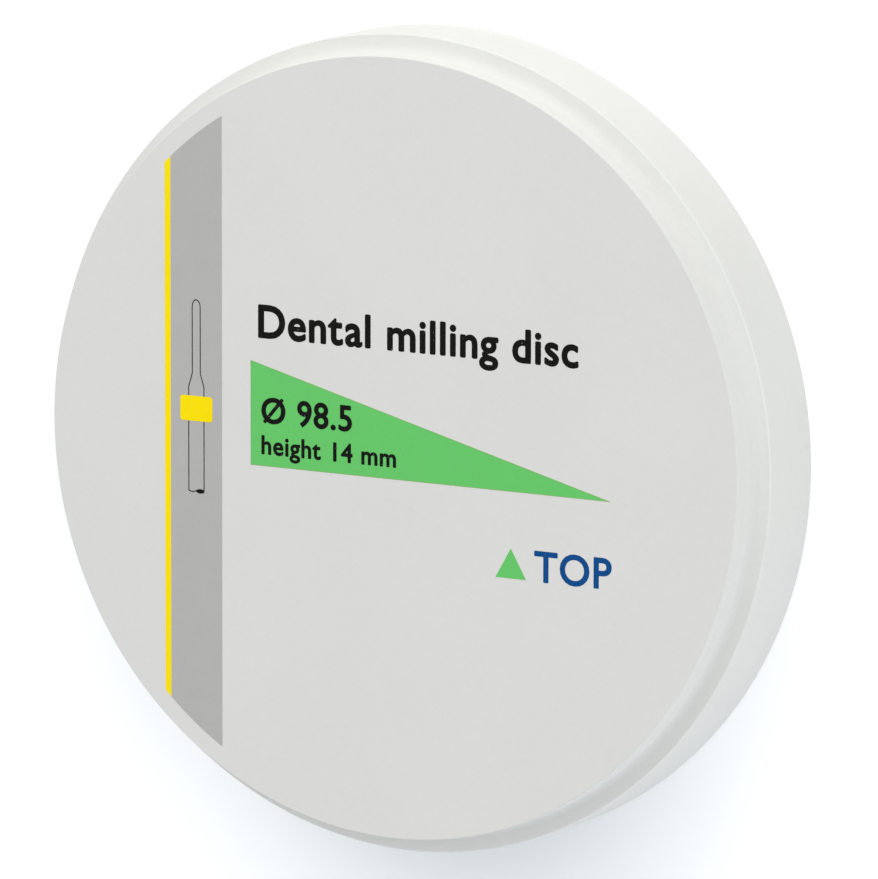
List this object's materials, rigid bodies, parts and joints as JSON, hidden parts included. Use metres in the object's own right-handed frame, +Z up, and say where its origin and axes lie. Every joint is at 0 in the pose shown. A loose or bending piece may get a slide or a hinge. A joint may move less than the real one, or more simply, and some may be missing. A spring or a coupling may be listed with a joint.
{
  "type": "dental milling disc",
  "caption": "Round stepped blank of pre-sintered zirconia for dental milling: a clamping flange with a raised boss and a printed face.",
  "frame": {"origin": "centre of the back face, on the surface that the disc lies on", "axes": "+Z up along the disc's axis, towards the printed face; +X to the right of the print, +Y to its top"},
  "size_m": [0.0985, 0.0985, 0.014],
  "materials": {
    "ceramic": "matt, chalky, pre-sintered",
    "grey_ink": "matt print",
    "yellow_ink": "matt print",
    "green_ink": "matt print",
    "black_ink": "matt print",
    "blue_ink": "matt print"
  },
  "bodies": {
    "root": {"milling_disc": "ceramic"}
  },
  "joints": []
}
